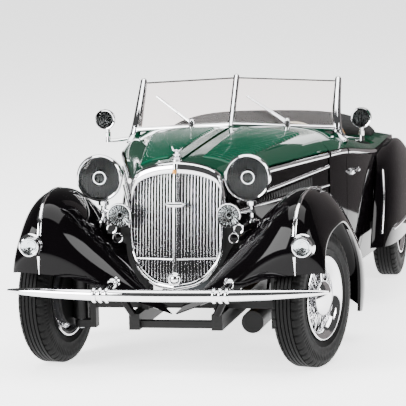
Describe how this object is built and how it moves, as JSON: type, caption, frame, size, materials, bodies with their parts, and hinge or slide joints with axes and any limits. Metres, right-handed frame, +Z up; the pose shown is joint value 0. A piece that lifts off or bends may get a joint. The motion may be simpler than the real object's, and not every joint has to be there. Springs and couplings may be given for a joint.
{
  "type": "model car",
  "caption": "Diecast collector model of a late-1930s open roadster with butterfly bonnet, opening doors and boot lid, wire wheels and coupled steering",
  "frame": {"origin": "on the ground under the middle of the car, at the bottom centre of its bounding box", "axes": "+Z up, the front of the car faces -Y, the left side of the car is +X"},
  "size_m": [0.1058, 0.287, 0.085],
  "materials": {
    "body_black": "gloss",
    "bonnet_green": "gloss",
    "chrome": "polished",
    "steel": "satin",
    "chassis": "satin",
    "tyre": "matte",
    "clear": "gloss",
    "red_lens": "gloss",
    "upholstery": "satin",
    "top_cloth": "matte",
    "dash": "gloss",
    "wheel_plastic": "gloss"
  },
  "bodies": {
    "car_body": {"chassis_frame": "chassis", "floor_pan": "chassis", "front_axle": "chassis", "kingpins": "steel", "rear_axle": "chassis", "engine_block": "chassis", "gearbox": "chassis", "exhaust_system": "chassis", "radiator_core": "chassis", "body_shell": "body_black", "front_fender_left": "body_black", "front_fender_right": "body_black", "rear_fender_left": "body_black", "rear_fender_right": "body_black", "hood_side_left": "body_black", "hood_side_right": "body_black", "grille_shell": "chrome", "grille_bars": "chrome", "radiator_mascot": "chrome", "headlamp_buckets": "chrome", "headlamp_rims": "chrome", "lamp_lenses": "clear", "lamp_stalks": "chrome", "fog_lamps": "chrome", "fender_lamps": "chrome", "tail_lamps": "red_lens", "front_bumper": "chrome", "rear_bumper": "chrome", "bumper_brackets": "chrome", "windscreen_frame": "chrome", "windscreen_glass": "clear", "wipers": "chrome", "search_lamps": "chrome", "dashboard": "dash", "steering_column": "steel", "seat_cushion": "upholstery", "seat_back": "upholstery", "folded_top": "top_cloth", "gear_lever": "chrome", "side_trim": "chrome", "fender_trim": "chrome"},
    "steering_wheel": {"steering_wheel": "wheel_plastic"},
    "knuckle_left": {"knuckle_left": "chassis"},
    "knuckle_right": {"knuckle_right": "chassis"},
    "tie_rod": {"tie_rod": "steel"},
    "front_left_wheel": {"tyre_front_left": "tyre", "wheel_front_left": "chrome"},
    "front_right_wheel": {"tyre_front_right": "tyre", "wheel_front_right": "chrome"},
    "rear_left_wheel": {"tyre_rear_left": "tyre", "wheel_rear_left": "chrome"},
    "rear_right_wheel": {"tyre_rear_right": "tyre", "wheel_rear_right": "chrome"},
    "left_door": {"door_left": "body_black", "door_trim_left": "chrome"},
    "right_door": {"door_right": "body_black", "door_trim_right": "chrome"},
    "left_bonnet": {"bonnet_left": "bonnet_green"},
    "right_bonnet": {"bonnet_right": "bonnet_green"},
    "boot": {"boot_lid": "body_black"}
  },
  "joints": [
    {"name": "steering_wheel_turn", "type": "hinge", "parent": "car_body", "child": "steering_wheel", "pos_m": [0.017, 0.0095, 0.0559], "axis": [0, 0.9121, 0.4099], "range_deg": [-30.05, 260.05]},
    {"name": "steer_left", "type": "hinge", "parent": "car_body", "child": "knuckle_left", "pos_m": [0.0338, -0.1075, 0.0218], "axis": [0, 0, 1], "range_deg": [-3, 26]},
    {"name": "steer_right", "type": "hinge", "parent": "car_body", "child": "knuckle_right", "pos_m": [-0.0338, -0.1075, 0.0218], "axis": [0, 0, 1], "range_deg": [-3, 26]},
    {"name": "tie_rod_slide", "type": "slide", "parent": "car_body", "child": "tie_rod", "axis": [1, 0, 0], "range_m": [-0.0042, 0.0006]},
    {"name": "spin_front_left", "type": "hinge", "parent": "knuckle_left", "child": "front_left_wheel", "pos_m": [0.04153, -0.10957, 0.0218], "axis": [0.9659, -0.2588, 0], "continuous": true},
    {"name": "spin_front_right", "type": "hinge", "parent": "knuckle_right", "child": "front_right_wheel", "pos_m": [-0.04168, -0.10611, 0.0218], "axis": [0.9848, -0.1736, 0], "continuous": true},
    {"name": "spin_rear_left", "type": "hinge", "parent": "car_body", "child": "rear_left_wheel", "pos_m": [0.0418, 0.0758, 0.0218], "axis": [1, 0, 0], "continuous": true},
    {"name": "spin_rear_right", "type": "hinge", "parent": "car_body", "child": "rear_right_wheel", "pos_m": [-0.0418, 0.0758, 0.0218], "axis": [1, 0, 0], "continuous": true},
    {"name": "left_door_swing", "type": "hinge", "parent": "car_body", "child": "left_door", "pos_m": [0.0464, 0.0215, 0.04], "axis": [0, 0, 1], "range_deg": [0, 55]},
    {"name": "right_door_swing", "type": "hinge", "parent": "car_body", "child": "right_door", "pos_m": [-0.0464, 0.0215, 0.04], "axis": [0, 0, -1], "range_deg": [0, 55]},
    {"name": "left_bonnet_lift", "type": "hinge", "parent": "car_body", "child": "left_bonnet", "pos_m": [0.00035, -0.1091, 0.06519], "axis": [0, -0.9994, -0.0332], "range_deg": [0, 70]},
    {"name": "right_bonnet_lift", "type": "hinge", "parent": "car_body", "child": "right_bonnet", "pos_m": [-0.00035, -0.1091, 0.06519], "axis": [0, 0.9994, 0.0332], "range_deg": [0, 70]},
    {"name": "boot_lift", "type": "hinge", "parent": "car_body", "child": "boot", "pos_m": [0, 0.0716, 0.05826], "axis": [1, 0, 0], "range_deg": [0, 60]}
  ],
  "couplings": [
    {"joint": "steering_wheel_turn", "follows": "steer_left", "ratio": 10},
    {"joint": "steer_right", "follows": "steer_left", "ratio": 1},
    {"joint": "tie_rod_slide", "follows": "steer_left", "m_per_rad": -0.0089175}
  ]
}
